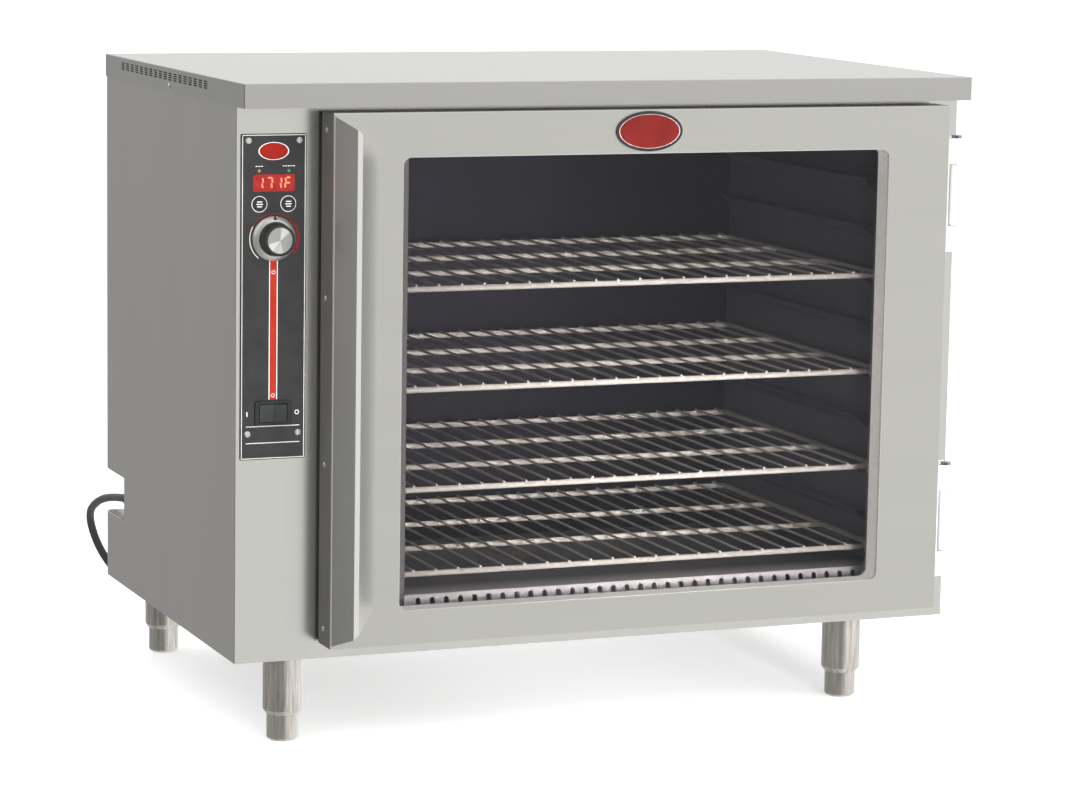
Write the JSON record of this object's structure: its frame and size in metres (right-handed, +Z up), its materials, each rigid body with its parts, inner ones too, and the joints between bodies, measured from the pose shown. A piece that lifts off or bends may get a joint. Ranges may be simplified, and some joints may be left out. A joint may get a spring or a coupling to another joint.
{
  "type": "heated holding cabinet",
  "caption": "Counter-top heated holding cabinet with a glazed side-hinged door, wire shelves, a water pan, a control plate and round adjustable legs.",
  "frame": {"origin": "on the floor under the middle of the cabinet, with its door shut, the free mains lead left out of the measure", "axes": "+X to the right seen from the front, -Y out of the door, +Z up"},
  "size_m": [0.8048, 0.6838, 0.67],
  "materials": {
    "brushed_stainless": "satin brushed stainless sheet",
    "plain_stainless": "mill-finish stainless sheet",
    "polished_steel": "bright plated steel",
    "element_steel": "heat-darkened metal sheath",
    "hinge_steel": "satin steel",
    "leg_steel": "satin stainless tube",
    "pan_aluminium": "smooth drawn aluminium",
    "mineral_wool": "matte fibre slab",
    "printed_overlay": "black printed plate",
    "display_lens": "dark red lens",
    "lamp_lens": "coloured lamp lens",
    "grey_button": "grey key cap",
    "knob_skirt_plastic": "clear-silver skirt",
    "black_plastic": "black moulding",
    "rocker_plastic": "black rocker",
    "pale_plastic": "pale moulding",
    "circuit_board": "green board",
    "clear_glass": "clear glass",
    "black_rubber": "matte black",
    "badge_enamel": "red gloss with a dark rim",
    "cord_rubber": "matte black",
    "tie_plastic": "black strap"
  },
  "bodies": {
    "casing": {"back_liner": "plain_stainless", "back_panel": "plain_stainless", "bottom_panel": "plain_stainless", "ceiling_liner": "plain_stainless", "control_board": "circuit_board", "control_plate": "printed_overlay", "cord_coil": "cord_rubber", "cord_recess": "plain_stainless", "cord_tie": "tie_plastic", "cover_screws": "polished_steel", "display_window": "display_lens", "encoder_body": "black_plastic", "floor_liner": "plain_stainless", "front_frame": "brushed_stainless", "heating_element": "element_steel", "insulation_slabs": "mineral_wool", "left_rack_wall": "plain_stainless", "left_side_panel": "brushed_stainless", "leg_tubes": "leg_steel", "lower_hinge_body_leaf": "hinge_steel", "pan_cover": "plain_stainless", "plate_screws": "polished_steel", "plug": "cord_rubber", "power_cord": "cord_rubber", "power_relay": "black_plastic", "right_rack_wall": "plain_stainless", "right_side_panel": "brushed_stainless", "rocker_housing": "black_plastic", "status_lamps": "lamp_lens", "strain_relief": "black_plastic", "temperature_probe": "polished_steel", "terminal_block": "pale_plastic", "top_cover": "brushed_stainless", "upper_hinge_body_leaf": "hinge_steel", "water_pan": "pan_aluminium"},
    "door": {"door_shell": "brushed_stainless", "door_liner": "plain_stainless", "outer_glass": "clear_glass", "inner_glass": "clear_glass", "door_gasket": "black_rubber", "door_handle": "brushed_stainless", "door_screws": "polished_steel", "door_badge": "badge_enamel", "upper_hinge_door_leaf": "hinge_steel", "lower_hinge_door_leaf": "hinge_steel", "hinge_pins": "hinge_steel"},
    "knob": {"knob_skirt": "knob_skirt_plastic", "knob_cap": "black_plastic", "knob_spindle": "polished_steel"},
    "rocker": {"rocker": "rocker_plastic"},
    "left_button": {"left_button": "grey_button"},
    "right_button": {"right_button": "grey_button"},
    "shelf_1": {"wire_shelf_1": "polished_steel"},
    "shelf_2": {"wire_shelf_2": "polished_steel"},
    "shelf_3": {"wire_shelf_3": "polished_steel"},
    "shelf_4": {"wire_shelf_4": "polished_steel"},
    "front_left_foot": {"foot_front_left": "leg_steel"},
    "front_right_foot": {"foot_front_right": "leg_steel"},
    "rear_left_foot": {"foot_rear_left": "leg_steel"},
    "rear_right_foot": {"foot_rear_right": "leg_steel"}
  },
  "joints": [
    {"name": "door_swing", "type": "hinge", "parent": "casing", "child": "door", "pos_m": [0.3845, -0.23525, 0.371], "axis": [0, 0, 1], "range_deg": [0, 180]},
    {"name": "knob_turn", "type": "hinge", "parent": "casing", "child": "knob", "pos_m": [-0.3614, -0.20775, 0.5149], "axis": [0, 1, 0], "range_deg": [-135, 135]},
    {"name": "rocker_rock", "type": "hinge", "parent": "casing", "child": "rocker", "pos_m": [-0.3614, -0.20675, 0.3402], "axis": [0, 0, 1], "range_deg": [0, 16]},
    {"name": "left_button_push", "type": "slide", "parent": "casing", "child": "left_button", "axis": [0, 1, 0], "range_m": [0, 0.0008], "stiffness_N_per_m": 1500},
    {"name": "right_button_push", "type": "slide", "parent": "casing", "child": "right_button", "axis": [0, 1, 0], "range_m": [0, 0.0008], "stiffness_N_per_m": 1500},
    {"name": "shelf_1_slide", "type": "slide", "parent": "casing", "child": "shelf_1", "axis": [0, -1, 0], "range_m": [0, 0.028]},
    {"name": "shelf_2_slide", "type": "slide", "parent": "casing", "child": "shelf_2", "axis": [0, -1, 0], "range_m": [0, 0.028]},
    {"name": "shelf_3_slide", "type": "slide", "parent": "casing", "child": "shelf_3", "axis": [0, -1, 0], "range_m": [0, 0.028]},
    {"name": "shelf_4_slide", "type": "slide", "parent": "casing", "child": "shelf_4", "axis": [0, -1, 0], "range_m": [0, 0.028]},
    {"name": "front_left_foot_adjust", "type": "slide", "parent": "casing", "child": "front_left_foot", "axis": [0, 0, -1], "range_m": [0, 0.02]},
    {"name": "front_right_foot_adjust", "type": "slide", "parent": "casing", "child": "front_right_foot", "axis": [0, 0, -1], "range_m": [0, 0.02]},
    {"name": "rear_left_foot_adjust", "type": "slide", "parent": "casing", "child": "rear_left_foot", "axis": [0, 0, -1], "range_m": [0, 0.02]},
    {"name": "rear_right_foot_adjust", "type": "slide", "parent": "casing", "child": "rear_right_foot", "axis": [0, 0, -1], "range_m": [0, 0.02]}
  ]
}
